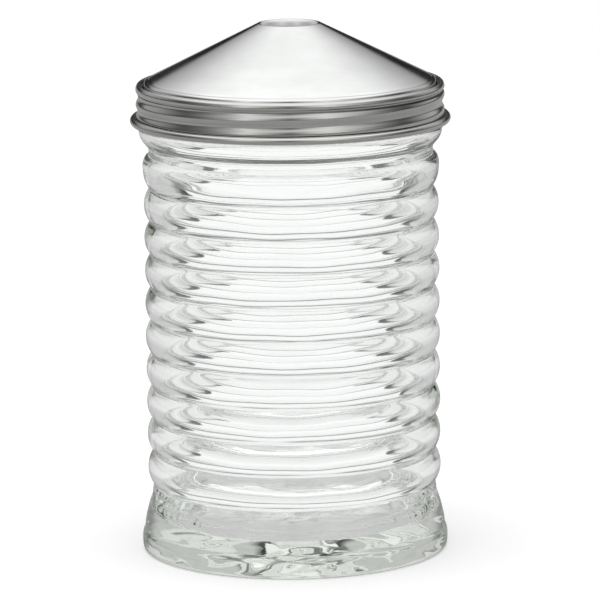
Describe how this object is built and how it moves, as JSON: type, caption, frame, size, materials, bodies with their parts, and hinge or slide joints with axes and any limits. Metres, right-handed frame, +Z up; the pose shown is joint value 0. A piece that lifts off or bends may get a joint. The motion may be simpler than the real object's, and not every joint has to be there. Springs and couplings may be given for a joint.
{
  "type": "sugar dispenser",
  "caption": "Ribbed glass sugar dispenser with a threaded steel cone lid, whose centre pour hole is closed from inside by a counterweighted gravity flap.",
  "frame": {"origin": "centre of the foot, on the table that it stands on", "axes": "+Z up the jar's axis, towards the pour hole; the flap's hinge pin lies along X, on the +Y side of the pour hole"},
  "size_m": [0.0794, 0.0794, 0.1321],
  "materials": {
    "glass": "clear pressed glass, fire polished, faintly grey-green in its thick base",
    "liner": "matt white food-grade rubber",
    "lid_band": "bright rolled sheet",
    "lid_cone": "bright, softly polished sheet",
    "flap_steel": "satin stamped sheet",
    "pin_steel": "drawn wire",
    "weight_steel": "turned slug, tumbled"
  },
  "bodies": {
    "jar": {"glass_jar": "glass"},
    "liner": {"rim_liner": "liner"},
    "lid": {"screw_band": "lid_band", "cone_top": "lid_cone", "flap_bracket": "flap_steel", "hinge_pin": "pin_steel"},
    "flap": {"flap_plate": "flap_steel", "counterweight": "weight_steel", "weight_rivet": "pin_steel"}
  },
  "joints": [
    {"name": "liner_lift", "type": "slide", "parent": "jar", "child": "liner", "axis": [0, 0, 1], "range_m": [0, 0.0076]},
    {"name": "cap_turn", "type": "hinge", "parent": "liner", "child": "lid", "pos_m": [0, 0, 0.1141], "axis": [0, 0, 1], "range_deg": [0, 720]},
    {"name": "flap_swing", "type": "hinge", "parent": "lid", "child": "flap", "pos_m": [0, 0.01, 0.1247], "axis": [1, 0, 0], "range_deg": [0, 40]}
  ],
  "couplings": [
    {"joint": "liner_lift", "follows": "cap_turn", "m_per_rad": 0.000605}
  ]
}
